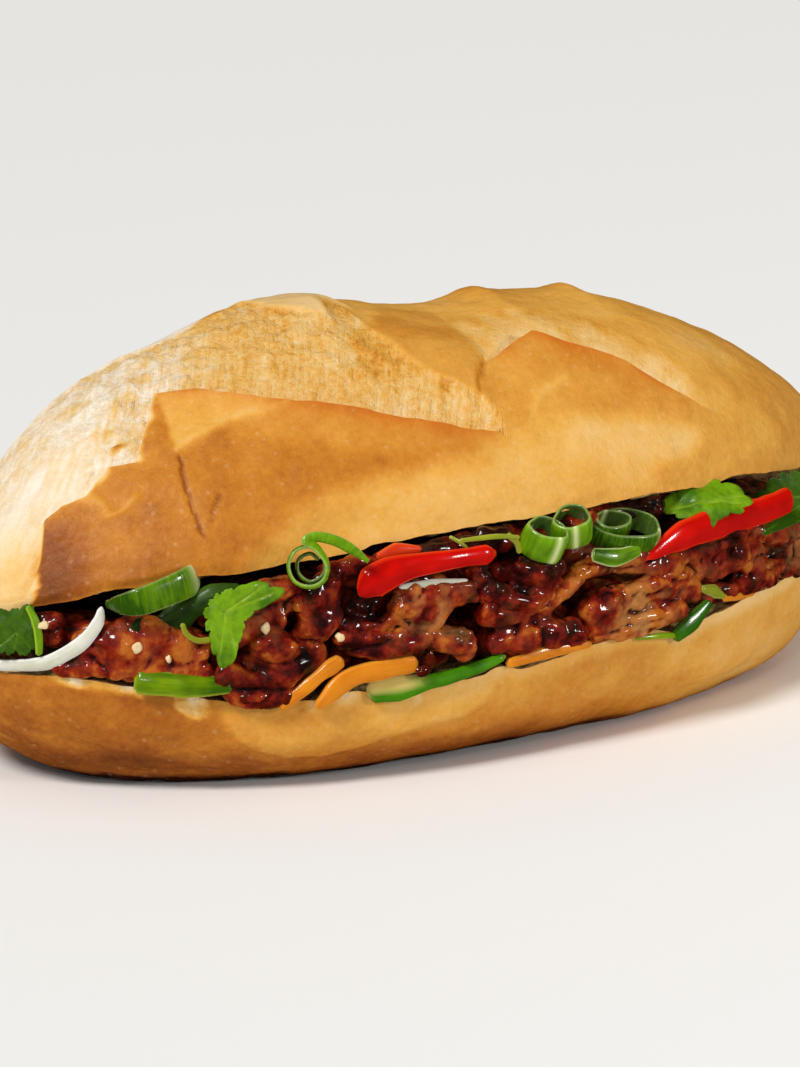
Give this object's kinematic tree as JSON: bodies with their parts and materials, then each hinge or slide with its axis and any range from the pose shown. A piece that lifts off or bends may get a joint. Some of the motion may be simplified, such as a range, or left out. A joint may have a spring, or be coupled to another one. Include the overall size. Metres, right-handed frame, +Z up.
{
  "type": "banh mi sandwich",
  "caption": "Crusty short roll with slashed crust, slit along the front and hinged at the back, filled with glazed pork slices, chili, scallion, coriander, onion, cucumber and carrot.",
  "frame": {"origin": "middle of the roll's length and width, on the flat underside that it rests on", "axes": "+X along the roll, -Y towards the open side with the filling, +Z up"},
  "size_m": [0.196, 0.0962, 0.078],
  "materials": {
    "crust": "matt baked crust, golden, paler along the slashes",
    "pork": "glossy dark caramel glaze with charred spots",
    "chili": "glossy red skin",
    "scallion": "satin green, lighter inside",
    "herb": "fresh green leaf",
    "onion": "wet translucent white",
    "carrot": "wet orange cut face",
    "cucumber": "wet pale flesh and green rind"
  },
  "bodies": {
    "root": {"bread_roll": "crust", "pork_1": "pork", "pork_2": "pork", "pork_3": "pork", "pork_4": "pork", "pork_5": "pork", "pork_6": "pork", "pork_7": "pork", "pork_8": "pork", "pork_9": "pork", "pork_10": "pork", "pork_11": "pork", "pork_12": "pork", "pork_13": "pork", "pork_14": "pork", "chili_1": "chili", "chili_2": "chili", "chili_3": "chili", "onion_1": "onion", "onion_2": "onion", "carrot_1": "carrot", "carrot_2": "carrot", "carrot_3": "carrot", "carrot_4": "carrot", "cucumber_1": "cucumber", "cucumber_2": "cucumber", "cucumber_3": "cucumber", "scallion_1": "scallion", "scallion_2": "scallion", "scallion_3": "scallion", "scallion_4": "scallion", "scallion_5": "scallion", "scallion_6": "scallion", "scallion_7": "scallion", "leaf_1": "herb", "leaf_2": "herb", "leaf_3": "herb", "leaf_4": "herb", "stalk_1": "herb", "stalk_2": "herb"}
  },
  "joints": []
}
